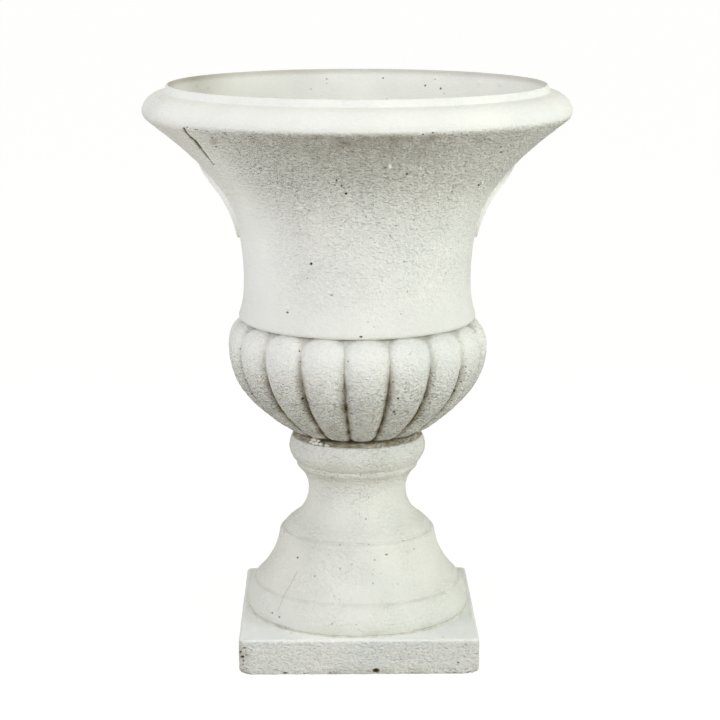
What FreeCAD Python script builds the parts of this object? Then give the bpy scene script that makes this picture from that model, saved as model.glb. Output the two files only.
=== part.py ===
import FreeCAD, Part
import math
import os

# A garden urn of cast stone: a flared bowl on a turned pedestal on a square plinth.
# Millimetres. The origin is the centre of the plinth's underside, +Z is up, and the
# front faces -Y. Nothing on it moves.

os.makedirs("parts", exist_ok=True)

V = FreeCAD.Vector
UP = V(0, 0, 1)

# Driving dimensions
TOTAL_HEIGHT = 620.0
RIM_RADIUS = 230.1
PLINTH_SIDE = 257.8
PLINTH_HEIGHT = 38.5
FOOT_RADIUS = 122.6
NECK_RADIUS = 53.8
COLLAR_RADIUS = 75.1
BELLY_RADIUS = 141.9
LOBE_COUNT = 18
LOBE_TURN = 3.7
LOBE_BULGE = 0.45
WAIST_RADIUS = 123.3

# Heights of the joints and of the main features, from the ground up
FOOT_BED = 1.5
PEDESTAL_BASE = PLINTH_HEIGHT + FOOT_BED
FOOT_GROOVE_Z = 71.0
STEP_GROOVE_Z = 130.0
NECK_Z = 174.0
COLLAR_GROOVE_Z = 205.0
PEDESTAL_TOP = 235.0
BOWL_BED = 3.5
BOWL_BASE = PEDESTAL_TOP + BOWL_BED
FLOOR_Z = 272.0
BELLY_Z = 336.0
BELL_EDGE_Z = 366.5
WAIST_Z = 413.0
RIM_Z = 593.0
RIM_UNDER_Z = 586.2
LIP_Z = 612.0

# Castings' details
PLINTH_CORNER = 6.0
PLINTH_EDGE = 3.0
LIP_OUTER = 206.0
LIP_CREST = 203.2
LIP_INNER = 200.4
RIM_UNDERCUT = 1.2
BOSS_RADIUS = 64.0
MORTAR_RADIUS = 66.0
MORTAR_BULGE = 69.0
FOOT_MORTAR_RADIUS = 121.2
FOOT_MORTAR_BULGE = 121.8
FLOOR_RADIUS = 76.0

# Plaques on the two sides of the bell
PLAQUE_Z = 493.2
PLAQUE_HALF_HEIGHT = 39.8
PLAQUE_HALF_WIDTH = 33.0
PLAQUE_THICKNESS = 4.2
PLAQUE_EDGE = 1.6
BELL_UNDER_PLAQUE = (0.3, 0.95)
PLAQUE_POINTS = 9

# Drain pipe and dowel pins
PIPE_OUTER = 12.5
PIPE_INNER = 10.0
PIPE_LOW = 4.0
PIPE_HIGH = 262.0
DRAIN_DISH = 17.0
DOWEL_RADIUS = 4.0
DOWELS_PER_JOINT = 3
BOWL_DOWEL_RING = 38.0
BOWL_DOWEL_LOW = 198.0
BOWL_DOWEL_HIGH = 258.0
FOOT_DOWEL_RING = 80.0
FOOT_DOWEL_LOW = 12.0
FOOT_DOWEL_HIGH = 62.0


def at(radius, z):
    """A point of a turned profile, in the XZ plane."""
    return V(radius, 0, z)


def line(start, end):
    return Part.makeLine(at(*start), at(*end))


def arc(start, middle, end):
    return Part.Arc(at(*start), at(*middle), at(*end)).toShape()


def curve(points):
    """A smooth curve through a few points of a profile."""
    spline = Part.BSplineCurve()
    spline.interpolate([at(*p) for p in points])
    return spline


def turned(edges):
    """The solid made by turning a closed profile about the Z axis."""
    face = Part.Face(Part.Wire(Part.__sortEdges__(edges)))
    return face.revolve(V(0, 0, 0), UP, 360)


def closed_to_axis(edges, low, high):
    """Turn an open outer profile that runs from its low end to its high end."""
    ends = [
        line((0, low[1]), low),
        line(high, (0, high[1])),
        line((0, high[1]), (0, low[1])),
    ]
    return turned(ends + edges)


def rod(radius, low, high, x=0.0, y=0.0):
    return Part.makeCylinder(radius, high - low, V(x, y, low), UP)


def dowels(ring, low, high):
    """Three equal pins on a ring, one of them at the back."""
    pins = []
    for i in range(DOWELS_PER_JOINT):
        a = math.radians(90 + 360.0 * i / DOWELS_PER_JOINT)
        pins.append(rod(DOWEL_RADIUS, low, high, ring * math.cos(a), ring * math.sin(a)))
    return Part.makeCompound(pins)


def bell_curve():
    """The bowl's outside from the edge over the lobes up to the rim."""
    return curve([
        (128.6, BELL_EDGE_Z),
        (124.6, 388),
        (WAIST_RADIUS, WAIST_Z),
        (124.9, 440),
        (130.6, 470),
        (143.2, 500),
        (165.2, 530),
        (194.9, 559),
        (215.9, 576),
        (RIM_RADIUS - RIM_UNDERCUT, RIM_UNDER_Z),
    ])


def lobe_ring(z, ridge):
    """One level of the belly: a ring of round lobes that meet in sharp valleys."""
    half = math.radians(180.0 / LOBE_COUNT)
    valley = ridge / (math.cos(half) + LOBE_BULGE * math.sin(half))
    arcs = []
    for i in range(LOBE_COUNT):
        middle = math.radians(LOBE_TURN - 90) + 2 * half * i
        ends = []
        for radius, angle in ((valley, middle - half), (ridge, middle), (valley, middle + half)):
            ends.append(V(radius * math.cos(angle), radius * math.sin(angle), z))
        arcs.append(Part.Arc(*ends).toShape())
    return Part.Wire(arcs)


def belly():
    """The lobed belly: fingertip ends below, full at BELLY_Z, tucked under the bell above."""
    levels = [
        (BOWL_BASE + 2.0, 64.5),
        (BOWL_BASE + 5.0, 74.0),
        (249, 84.2),
        (259, 97.2),
        (277, 117.0),
        (300, 133.4),
        (318, 139.8),
        (BELLY_Z, BELLY_RADIUS),
        (350, 139.4),
        (361, 132.8),
        (BELL_EDGE_Z + 2, 124.5),
    ]
    return Part.makeLoft([lobe_ring(z, ridge) for z, ridge in levels], True, False)


def bell_and_rim():
    """The bell with the rounded rim and the narrow lip that stands on it."""
    rim = (RIM_RADIUS, RIM_Z)
    under = (RIM_RADIUS - RIM_UNDERCUT, RIM_UNDER_Z)
    shoulder = (LIP_OUTER, LIP_Z + 0.5)
    lip_corner = (LIP_OUTER - 0.4, TOTAL_HEIGHT - 2)
    lip_top = (LIP_CREST + 0.8, TOTAL_HEIGHT)
    edges = [
        bell_curve().toShape(),
        arc(under, (RIM_RADIUS - 0.3, RIM_Z - 3.5), rim),
        arc(rim, (221.8, 607.0), shoulder),
        line(shoulder, lip_corner),
        arc(lip_corner, (LIP_OUTER - 0.9, TOTAL_HEIGHT - 0.6), lip_top),
    ]
    return closed_to_axis(edges, (128.6, BELL_EDGE_Z), lip_top)


def cavity():
    """The planting space: a flat floor, nearly upright sides and the flared mouth."""
    low = (FLOOR_RADIUS, FLOOR_Z)
    side = (96.0, FLOOR_Z + 20)
    mouth = (LIP_INNER - 0.6, TOTAL_HEIGHT - 6)
    lip_edge = (LIP_INNER, TOTAL_HEIGHT - 2)
    crest = (LIP_CREST - 0.8, TOTAL_HEIGHT)
    flare = curve([
        side,
        (99.0, 350),
        (100.5, 420),
        (104.5, 460),
        (117.0, 500),
        (136.5, 530),
        (163.0, 560),
        (186.0, 588),
        mouth,
    ])
    edges = [
        arc(low, (90.2, FLOOR_Z + 5.8), side),
        flare.toShape(),
        line(mouth, lip_edge),
        arc(lip_edge, (LIP_INNER + 0.7, TOTAL_HEIGHT - 0.7), crest),
    ]
    return closed_to_axis(edges, low, crest)


def bowl():
    body = bell_and_rim().fuse(belly())
    body = body.fuse(rod(BOSS_RADIUS, BOWL_BASE, BOWL_BASE + 12))
    body = body.cut(cavity())
    body = body.cut(rod(PIPE_OUTER, BOWL_BASE, FLOOR_Z))
    dish = Part.makeCone(PIPE_OUTER, DRAIN_DISH, FLOOR_Z - PIPE_HIGH, V(0, 0, PIPE_HIGH), UP)
    body = body.cut(dish)
    return body.cut(dowels(BOWL_DOWEL_RING, BOWL_DOWEL_LOW, BOWL_DOWEL_HIGH))


def plaque(side):
    """An oval plaque that follows the bell; side is +1 on the right and -1 on the left."""
    skin = bell_curve()
    low = skin.LastParameter * BELL_UNDER_PLAQUE[0]
    high = skin.LastParameter * BELL_UNDER_PLAQUE[1]
    raised = []
    for i in range(PLAQUE_POINTS):
        u = low + (high - low) * i / (PLAQUE_POINTS - 1)
        tangent = skin.tangent(u)[0]
        outward = V(tangent.z, 0, -tangent.x)
        raised.append(skin.value(u) + outward * PLAQUE_THICKNESS)
    front = Part.BSplineCurve()
    front.interpolate(raised)
    skin.segment(low, high)
    ends = [
        Part.makeLine(skin.value(low), raised[0]),
        Part.makeLine(skin.value(high), raised[-1]),
    ]
    shell = turned([skin.toShape(), front.toShape()] + ends)
    shell.rotate(V(0, 0, 0), UP, 90)
    oval = Part.Ellipse(
        V(0, 0, PLAQUE_Z + PLAQUE_HALF_HEIGHT),
        V(0, PLAQUE_HALF_WIDTH, PLAQUE_Z),
        V(0, 0, PLAQUE_Z),
    )
    stamp = Part.Face(Part.Wire(oval.toShape())).extrude(V(side * RIM_RADIUS, 0, 0))
    piece = shell.common(stamp).Solids[0]
    outer_face = max(piece.Faces, key=lambda f: abs(f.CenterOfMass.x))
    return piece.makeFillet(PLAQUE_EDGE, outer_face.OuterWire.Edges)


def pedestal():
    """Turned casting, from the round foot up: foot, bell, step, neck, collar."""
    base = (121.0, PEDESTAL_BASE)
    foot_top = (114.8, FOOT_GROOVE_Z - 0.5)
    groove = (113.2, FOOT_GROOVE_Z)
    bell_low = (113.4, FOOT_GROOVE_Z + 1.5)
    bell_high = (86.2, STEP_GROOVE_Z - 6)
    bell_lip = (83.0, STEP_GROOVE_Z - 1)
    step_groove = (81.2, STEP_GROOVE_Z)
    shoulder_low = (81.4, STEP_GROOVE_Z + 1)
    shoulder_high = (71.5, 140.0)
    neck = (NECK_RADIUS, NECK_Z)
    flare = (64.6, 198.6)
    flare_lip = (67.2, COLLAR_GROOVE_Z - 0.8)
    collar_groove = (65.8, COLLAR_GROOVE_Z)
    collar_low = (67.4, COLLAR_GROOVE_Z + 0.8)
    collar_high = (72.0, PEDESTAL_TOP - 1.2)
    top = (70.4, PEDESTAL_TOP)
    edges = [
        arc(base, (FOOT_RADIUS, 56.6), foot_top),
        line(foot_top, groove),
        line(groove, bell_low),
        arc(bell_low, (94.4, 98.2), bell_high),
        arc(bell_high, (85.3, STEP_GROOVE_Z - 3), bell_lip),
        line(bell_lip, step_groove),
        line(step_groove, shoulder_low),
        arc(shoulder_low, (77.0, 135.6), shoulder_high),
        arc(shoulder_high, (57.9, 156), neck),
        arc(neck, (56.1, 186), flare),
        arc(flare, (66.3, 201.4), flare_lip),
        line(flare_lip, collar_groove),
        line(collar_groove, collar_low),
        arc(collar_low, (COLLAR_RADIUS, 221), collar_high),
        line(collar_high, top),
    ]
    body = closed_to_axis(edges, base, top)
    body = body.cut(rod(PIPE_OUTER, PEDESTAL_BASE, PEDESTAL_TOP))
    body = body.cut(dowels(BOWL_DOWEL_RING, BOWL_DOWEL_LOW, BOWL_DOWEL_HIGH))
    return body.cut(dowels(FOOT_DOWEL_RING, FOOT_DOWEL_LOW, FOOT_DOWEL_HIGH))


def mortar_bed(radius, bulge, low, high, ring):
    """A disc of mortar with a bulged edge, round the pipe and the pins of its joint."""
    edge = arc((radius, low), (bulge, (low + high) / 2), (radius, high))
    bed = closed_to_axis([edge], (radius, low), (radius, high))
    return bed.cut(rod(PIPE_OUTER, low, high)).cut(dowels(ring, low, high))


def plinth():
    half = PLINTH_SIDE / 2
    slab = Part.makeBox(PLINTH_SIDE, PLINTH_SIDE, PLINTH_HEIGHT, V(-half, -half, 0))
    upright = [e for e in slab.Edges if abs(e.tangentAt(e.FirstParameter).z) > 0.9]
    slab = slab.makeFillet(PLINTH_CORNER, upright)
    level = [e for e in slab.Edges if e.BoundBox.ZLength < 0.01]
    slab = slab.makeFillet(PLINTH_EDGE, level)
    slab = slab.cut(rod(PIPE_OUTER, 0, PLINTH_HEIGHT))
    return slab.cut(dowels(FOOT_DOWEL_RING, FOOT_DOWEL_LOW, FOOT_DOWEL_HIGH))


def drain_pipe():
    return rod(PIPE_OUTER, PIPE_LOW, PIPE_HIGH).cut(rod(PIPE_INNER, PIPE_LOW, PIPE_HIGH))


pieces = {
    "plinth": plinth(),
    "foot_mortar_bed": mortar_bed(
        FOOT_MORTAR_RADIUS, FOOT_MORTAR_BULGE, PLINTH_HEIGHT, PEDESTAL_BASE, FOOT_DOWEL_RING),
    "pedestal": pedestal(),
    "bowl_mortar_bed": mortar_bed(
        MORTAR_RADIUS, MORTAR_BULGE, PEDESTAL_TOP, BOWL_BASE, BOWL_DOWEL_RING),
    "bowl": bowl(),
    "side_plaque_left": plaque(-1),
    "side_plaque_right": plaque(+1),
    "drain_pipe": drain_pipe(),
    "bowl_dowels": dowels(BOWL_DOWEL_RING, BOWL_DOWEL_LOW, BOWL_DOWEL_HIGH),
    "foot_dowels": dowels(FOOT_DOWEL_RING, FOOT_DOWEL_LOW, FOOT_DOWEL_HIGH),
}

for name, shape in pieces.items():
    if not shape.isValid():
        print("not valid:", name)
    box = shape.BoundBox
    size = [round(v, 2) for v in (box.XMin, box.XMax, box.YMin, box.YMax, box.ZMin, box.ZMax)]
    print(name, len(shape.Solids), "solids", round(shape.Volume / 1000), "cm3", size)
    shape.exportStep("parts/" + name + ".step")
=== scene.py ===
import math
import random

import bmesh
import bpy
import numpy as np
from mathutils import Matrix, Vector, kdtree, noise
from mathutils.bvhtree import BVHTree


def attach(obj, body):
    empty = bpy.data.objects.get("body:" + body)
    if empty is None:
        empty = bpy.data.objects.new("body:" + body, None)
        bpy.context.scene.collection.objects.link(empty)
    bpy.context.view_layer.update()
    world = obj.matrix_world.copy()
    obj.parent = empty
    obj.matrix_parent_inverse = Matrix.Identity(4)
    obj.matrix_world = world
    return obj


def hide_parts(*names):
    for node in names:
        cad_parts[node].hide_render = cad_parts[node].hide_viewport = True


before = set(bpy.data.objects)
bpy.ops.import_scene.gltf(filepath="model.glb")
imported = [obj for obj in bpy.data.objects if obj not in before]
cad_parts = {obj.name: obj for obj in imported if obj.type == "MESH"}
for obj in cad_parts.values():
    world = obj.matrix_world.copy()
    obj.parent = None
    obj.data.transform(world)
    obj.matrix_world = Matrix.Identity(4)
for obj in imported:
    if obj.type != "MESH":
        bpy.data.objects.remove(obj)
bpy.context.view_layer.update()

# The stones are sized in millimetres; the camera, the lamps and the floor are placed in metres.
MM = 0.001

# Camera
# The photograph was taken from a little over two metres, from above the rim and looking down
# on the foot. The same view is also used to set the air holes and chips where they show.
PHOTO_PX = 720
SENSOR_MM = 36.0
LENS_MM = 106.5
CAMERA_DISTANCE = 2.290
CAMERA_HEIGHT = 0.8045
CAMERA_PITCH = math.radians(12.02)
CAMERA_ROUND = math.radians(-0.7)
AXIS_LEFT_PX = 2.8
CLIP_FAR = 200

camera = bpy.data.objects.new("camera", bpy.data.cameras.new("camera"))
bpy.context.scene.collection.objects.link(camera)
camera.data.lens = LENS_MM
camera.data.sensor_width = SENSOR_MM
camera.data.sensor_fit = "HORIZONTAL"
camera.data.shift_x = AXIS_LEFT_PX / PHOTO_PX
camera.data.clip_end = CLIP_FAR
camera.location = (
    CAMERA_DISTANCE * math.sin(CAMERA_ROUND),
    -CAMERA_DISTANCE * math.cos(CAMERA_ROUND),
    CAMERA_HEIGHT,
)
camera.rotation_euler = (math.radians(90) - CAMERA_PITCH, 0, CAMERA_ROUND)
bpy.context.scene.camera = camera
bpy.context.view_layer.update()

# Plinth
# A square slab of cast stone, tamped face down in an open mould: a fine sandy face, worn round
# edges, small air holes and a few chips along the foot. The pedestal is bedded on it in mortar.
PLINTH_HALF = 128.9
PLINTH_TOP = 38.5
PLINTH_CORNER = 6.0
LEAST_CORNER = 0.4
PLINTH_EDGE = 3.0
PLINTH_FOOT_EDGE = 1.1
PLINTH_BELLY = 0.2
PLINTH_SLIP = 0.6
CORNER_WEAR = 5.0
CORNER_WEAR_HIGH = 7.0
CORNER_WEAR_LONG = 14.0
BORE = 12.5
SIDE_POINTS = 96
CORNER_POINTS = 8


def linear(code):
    """An sRGB hex colour as linear red, green, blue and alpha."""
    values = [int(code[i:i + 2], 16) / 255 for i in (1, 3, 5)]
    return tuple(v / 12.92 if v <= 0.04045 else ((v + 0.055) / 1.055) ** 2.4 for v in values) + (1.0,)


def add_node(tree, kind, settings=None, inputs=None):
    """Add a node; an input is a value, or another node's output to link from."""
    made = tree.nodes.new(kind)
    for name, value in (settings or {}).items():
        setattr(made, name, value)
    for name, value in (inputs or {}).items():
        if isinstance(value, bpy.types.NodeSocket):
            tree.links.new(value, made.inputs[name])
        else:
            made.inputs[name].default_value = value
    return made


# The Mix node's sockets for colours go by number, because its other sockets share their names.
SHARE, FIRST, SECOND, MIXED = 0, 6, 7, 2
COLOURS = {"data_type": "RGBA"}

# Sizes of what shows in the stone. The lumps' and the grain's reliefs are drawn deeper than the
# real ones, so that they show.
STONE_ROUGHNESS = 0.88
STONE_SPECULAR = 0.25
CLOUD_MM = 70.0
UNDERSIDE_PATCH_MM = 18.0
# HOLLOW_SHADE is painted shade in the grain's hollows and painted highlight on its peaks; the underside
# share is a tint on what faces down, partly dust and partly painted shade.
HOLLOW_SHADE = 0.07
UNDERSIDE_SHADE_SHARE = 0.10
GRAIN_FLAT = 1.5
LUMP_MM = 4.6
LUMP_DEPTH_MM = 4.0
PIN_HOLE_SPACING_MM = 9.5
PIN_HOLE_DEPTH_MM = 0.8
PIN_HOLE_SHARE = 0.36
SOIL_AND_SHADE_TONE = "#786A45"
PIT_SHADE_TONE = "#2B2820"
PIN_HOLE_SHADE_TONE = "#77745F"
# Dirt and painted shade run from 0 to 1 on the faces, and on from there to the full painted shade of a
# pit.
PIT_SHADE_STARTS = 1.0
PIT_DARKNESS = 1.6


def cast_stone(name, pale, cool, underside_tone, grain_mm, grain_depth_mm):
    """White cement and fine limestone sand, dry-tamped in a mould and weathered outdoors.

    It gives the eye a matt, chalky face with a sandy grain, faint cloudy patches and pin holes.
    What faces down is tinted grey-brown, partly with dust where rain doesn't wash it and partly
    with painted shade; the creases hold soil and painted shade, and the grain's hollows and the
    pin holes are darkened with painted shade.
    """
    material = bpy.data.materials.new(name)
    material.use_nodes = True
    tree = material.node_tree
    shader = tree.nodes["Principled BSDF"]
    shader.inputs["Roughness"].default_value = STONE_ROUGHNESS
    shader.inputs["Specular IOR Level"].default_value = STONE_SPECULAR
    place = add_node(tree, "ShaderNodeTexCoord").outputs["Object"]
    dirt_and_shade = add_node(tree, "ShaderNodeAttribute", {"attribute_name": "dirt_and_shade"}).outputs["Fac"]
    coarse = add_node(tree, "ShaderNodeAttribute", {"attribute_name": "coarse"}).outputs["Fac"]

    # The cement dried unevenly, in faint clouds.
    clouds = add_node(tree, "ShaderNodeTexNoise", inputs={
        "Vector": place, "Scale": 1 / (CLOUD_MM * MM), "Detail": 3.0, "Roughness": 0.55})
    cloud_share = add_node(tree, "ShaderNodeMapRange", inputs={
        "Value": clouds.outputs["Fac"], "From Min": 0.38, "From Max": 0.64})
    body = add_node(tree, "ShaderNodeMix", COLOURS, {
        SHARE: cloud_share.outputs["Result"], FIRST: linear(pale), SECOND: linear(cool)})

    # The sand is half a millimetre across; it is drawn about four times as coarse, so that it
    # shows, and it lies flat because the mould was filled in layers.
    layered = add_node(tree, "ShaderNodeMapping", inputs={
        "Vector": place, "Scale": (1.0, 1.0, GRAIN_FLAT)})
    sand = add_node(tree, "ShaderNodeTexNoise", inputs={
        "Vector": layered.outputs["Vector"], "Scale": 1 / (grain_mm * MM),
        "Detail": 3.0, "Roughness": 0.55})
    # Where the face is coarse, the grain's hollows are painted darker and its peaks lighter: painted shade
    # and painted highlight.
    grain_light_and_shade = add_node(tree, "ShaderNodeMapRange", inputs={
        "Value": sand.outputs["Fac"], "From Min": 0.36, "From Max": 0.62,
        "To Min": HOLLOW_SHADE, "To Max": -HOLLOW_SHADE})
    coarse_grain_light_and_shade = add_node(tree, "ShaderNodeMath", {"operation": "MULTIPLY"}, {
        0: grain_light_and_shade.outputs["Result"], 1: coarse})
    grain_brightness = add_node(tree, "ShaderNodeMath", {"operation": "SUBTRACT"}, {
        0: 1.0, 1: coarse_grain_light_and_shade.outputs["Value"]})
    grain_lit_and_shaded = add_node(tree, "ShaderNodeMix", {**COLOURS, "blend_type": "MULTIPLY"}, {
        SHARE: 1.0, FIRST: body.outputs[MIXED], SECOND: grain_brightness.outputs["Value"]})

    # A warm, darker tint on what faces down: partly a film of algae and dust, partly painted shade.
    underside_patch_noise = add_node(tree, "ShaderNodeTexNoise", inputs={
        "Vector": place, "Scale": 1 / (UNDERSIDE_PATCH_MM * MM), "Detail": 4.0, "Roughness": 0.6})
    underside_patches = add_node(tree, "ShaderNodeMapRange", inputs={
        "Value": underside_patch_noise.outputs["Fac"], "From Min": 0.35, "From Max": 0.70,
        "To Min": 0.65, "To Max": 1.0})
    normal = add_node(tree, "ShaderNodeNewGeometry").outputs["Normal"]
    facing = add_node(tree, "ShaderNodeSeparateXYZ", inputs={"Vector": normal}).outputs["Z"]
    facing_down = add_node(tree, "ShaderNodeMapRange", inputs={
        "Value": facing, "From Min": -0.15, "From Max": -0.75, "To Min": 0.0, "To Max": UNDERSIDE_SHADE_SHARE})
    underside_dust_and_shade = add_node(tree, "ShaderNodeMath", {"operation": "MULTIPLY"}, {
        0: facing_down.outputs["Result"], 1: underside_patches.outputs["Result"]})
    underside_toned = add_node(tree, "ShaderNodeMix", COLOURS, {
        SHARE: underside_dust_and_shade.outputs["Value"], FIRST: grain_lit_and_shaded.outputs[MIXED], SECOND: linear(underside_tone)})
    # Soil where the mesh says that it lies, with painted shade in creases, recesses and under edges; past
    # 1, the painted shade of a pit.
    soiled_and_shaded = add_node(tree, "ShaderNodeMix", COLOURS, {
        SHARE: dirt_and_shade, FIRST: underside_toned.outputs[MIXED], SECOND: linear(SOIL_AND_SHADE_TONE)})
    pit_shade = add_node(tree, "ShaderNodeMapRange", inputs={
        "Value": dirt_and_shade, "From Min": PIT_SHADE_STARTS, "From Max": PIT_DARKNESS})
    pit_shaded = add_node(tree, "ShaderNodeMix", COLOURS, {
        SHARE: pit_shade.outputs["Result"], FIRST: soiled_and_shaded.outputs[MIXED], SECOND: linear(PIT_SHADE_TONE)})

    # Pin holes, more of them where the face is coarse, darkened with painted shade.
    holes = add_node(tree, "ShaderNodeTexVoronoi", inputs={
        "Vector": place, "Scale": 1 / (PIN_HOLE_SPACING_MM * MM), "Randomness": 1.0})
    hole_size = add_node(tree, "ShaderNodeMapRange", inputs={
        "Value": holes.outputs["Distance"], "From Min": 0.05, "From Max": 0.09,
        "To Min": 0.9, "To Max": 0.0})
    hole_share = add_node(tree, "ShaderNodeMath", {"operation": "MULTIPLY"}, {
        0: coarse, 1: PIN_HOLE_SHARE})
    hole_pick = add_node(tree, "ShaderNodeMath", {"operation": "LESS_THAN"}, {
        0: holes.outputs["Color"], 1: hole_share.outputs["Value"]})
    pin_hole = add_node(tree, "ShaderNodeMath", {"operation": "MULTIPLY"}, {
        0: hole_size.outputs["Result"], 1: hole_pick.outputs["Value"]})
    hole_shaded = add_node(tree, "ShaderNodeMix", COLOURS, {
        SHARE: pin_hole.outputs["Value"], FIRST: pit_shaded.outputs[MIXED], SECOND: linear(PIN_HOLE_SHADE_TONE)})
    tree.links.new(hole_shaded.outputs[MIXED], shader.inputs["Base Color"])

    # The relief: grain, larger lumps and pin holes. The first two are levelled on zero, so that
    # no edge shows where coarse stone runs out into smooth.
    lumps = add_node(tree, "ShaderNodeTexNoise", inputs={
        "Vector": layered.outputs["Vector"], "Scale": 1 / (LUMP_MM * MM),
        "Detail": 2.0, "Roughness": 0.5})
    grain_level = add_node(tree, "ShaderNodeMath", {"operation": "SUBTRACT"}, {
        0: sand.outputs["Fac"], 1: 0.5})
    grain_height = add_node(tree, "ShaderNodeMath", {"operation": "MULTIPLY"}, {
        0: grain_level.outputs["Value"], 1: coarse})
    lump_level = add_node(tree, "ShaderNodeMath", {"operation": "SUBTRACT"}, {
        0: lumps.outputs["Fac"], 1: 0.5})
    lump_height = add_node(tree, "ShaderNodeMath", {"operation": "MULTIPLY"}, {
        0: lump_level.outputs["Value"], 1: coarse})
    grain_bump = add_node(tree, "ShaderNodeBump", inputs={
        "Strength": 1.0, "Distance": grain_depth_mm * MM, "Height": grain_height.outputs["Value"]})
    lump_bump = add_node(tree, "ShaderNodeBump", inputs={
        "Strength": 1.0, "Distance": LUMP_DEPTH_MM * MM, "Height": lump_height.outputs["Value"],
        "Normal": grain_bump.outputs["Normal"]})
    hole_bump = add_node(tree, "ShaderNodeBump", {"invert": True}, {
        "Strength": 1.0, "Distance": PIN_HOLE_DEPTH_MM * MM, "Height": pin_hole.outputs["Value"],
        "Normal": lump_bump.outputs["Normal"]})
    tree.links.new(hole_bump.outputs["Normal"], shader.inputs["Normal"])
    return material


def skin(name, rings):
    """A closed mesh through rings of points in millimetres, the last joined to the first."""
    count = len(rings[0])
    points = np.concatenate(rings) * MM
    faces = []
    for i in range(len(rings)):
        low, high = i * count, (i + 1) % len(rings) * count
        for j in range(count):
            k = (j + 1) % count
            faces.append((low + j, low + k, high + k, high + j))
    mesh = bpy.data.meshes.new(name)
    mesh.from_pydata(points.tolist(), [], faces)
    mesh.update()
    piece = bpy.data.objects.new(name, mesh)
    bpy.context.scene.collection.objects.link(piece)
    return piece


def seen(x, y, radius, depth, stretch=1.0, dark=0.6):
    """A hole, or with a negative depth a lump, at a pixel of the photograph; sizes in mm."""
    focal = LENS_MM / SENSOR_MM * PHOTO_PX
    across = (x - PHOTO_PX / 2 + AXIS_LEFT_PX) / focal
    up = (PHOTO_PX / 2 - y) / focal
    direction = camera.matrix_world.to_3x3() @ Vector((across, up, -1))
    return camera.location.copy(), direction.normalized(), radius, depth, stretch, dark


def traced(points, radius, depth, dark=0.6, gap_px=0.6):
    """A crack, or with a negative depth a seam, along a few pixels of the photograph."""
    marks = []
    for (x0, y0), (x1, y1) in zip(points, points[1:]):
        count = max(1, round(math.hypot(x1 - x0, y1 - y0) / gap_px))
        for i in range(count):
            share = i / count
            marks.append(seen(x0 + (x1 - x0) * share, y0 + (y1 - y0) * share, radius, depth, 1.0, dark))
    return marks


def scattered(seed, count, low, high, reach=400.0, sizes=(0.45, 1.0)):
    """Air holes at random on the outside, between two heights in millimetres."""
    draw = random.Random(seed)
    marks = []
    for _ in range(count):
        bearing = draw.uniform(0, 2 * math.pi)
        outward = Vector((math.cos(bearing), math.sin(bearing), 0))
        radius = sizes[0] + (sizes[1] - sizes[0]) * draw.random() ** 2
        start = outward * reach * MM + Vector((0, 0, draw.uniform(low, high) * MM))
        marks.append((start, -outward, radius, radius, draw.uniform(0.8, 1.5), draw.uniform(0.2, 0.6)))
    return marks


# A casting's skin: short ripples where it is coarse, and long, shallow wandering all over.
RIPPLE_MM = 5.0
RIPPLE_DEPTH_MM = 0.42
WANDER_LONG_MM = 45.0
WANDER_SHORT_MM = 14.0
CREASE_DEGREES = 50
# A mark's ragged outline, its flat bottom and steep sides, and how its dirt and painted shade fade
# outward.
RAGGED_MM = 1.1
RAGGED_SHARE = 0.25
MARK_FLATNESS = 2.4
MARK_STEEPNESS = 0.6
MARK_DIRT_AND_SHADE_FALL = 3
# A lump that stands out further than this has neither dirt nor painted shade, and is smooth.
PROUD_LUMP_MM = 0.4
# The mesh is cut finer round a mark, out to a share of the mark's reach and a margin.
SPLIT_SPREAD = 1.4
SPLIT_MARGIN_MM = 1.8
SPLIT_CUTS = 3
# A mark moves vertices out to this share of its reach, where the surface turns the same way.
MARK_SPREAD = 1.3
SAME_FACE = 0.2
# The least that a surface is taken to face a mark's line, which limits the reach of a slant one.
LEAST_FACING = 0.4


def spots_on(bm, marks):
    """Where the marks' lines meet the piece, with the marks' sizes and their reach in metres."""
    tree = BVHTree.FromBMesh(bm)
    spots = []
    for start, direction, radius, depth, stretch, dark in marks:
        place, normal, _, _ = tree.ray_cast(start, direction)
        if place is not None:
            lean = 1 / max(LEAST_FACING, abs(direction.dot(normal)))
            reach = radius * MM * max(stretch, 1) * lean
            spots.append((place, normal, direction, radius * MM, depth * MM, stretch, dark, reach))
    return spots


def divide_near(bm, spots):
    """Divide the faces round each spot, so that a small hole comes out round."""
    near = kdtree.KDTree(len(spots))
    for i, spot in enumerate(spots):
        near.insert(spot[0], i)
    near.balance()
    margin = SPLIT_MARGIN_MM * MM
    widest = max(spot[-1] for spot in spots) * SPLIT_SPREAD + margin
    close = set()
    for face in bm.faces:
        found = near.find_range(face.calc_center_median(), widest)
        if any(distance < spots[i][-1] * SPLIT_SPREAD + margin for _, i, distance in found):
            close.add(face)
    edges = [e for e in bm.edges if any(f in close for f in e.link_faces)]
    bmesh.ops.subdivide_edges(bm, edges=edges, cuts=SPLIT_CUTS, use_grid_fill=True)


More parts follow.
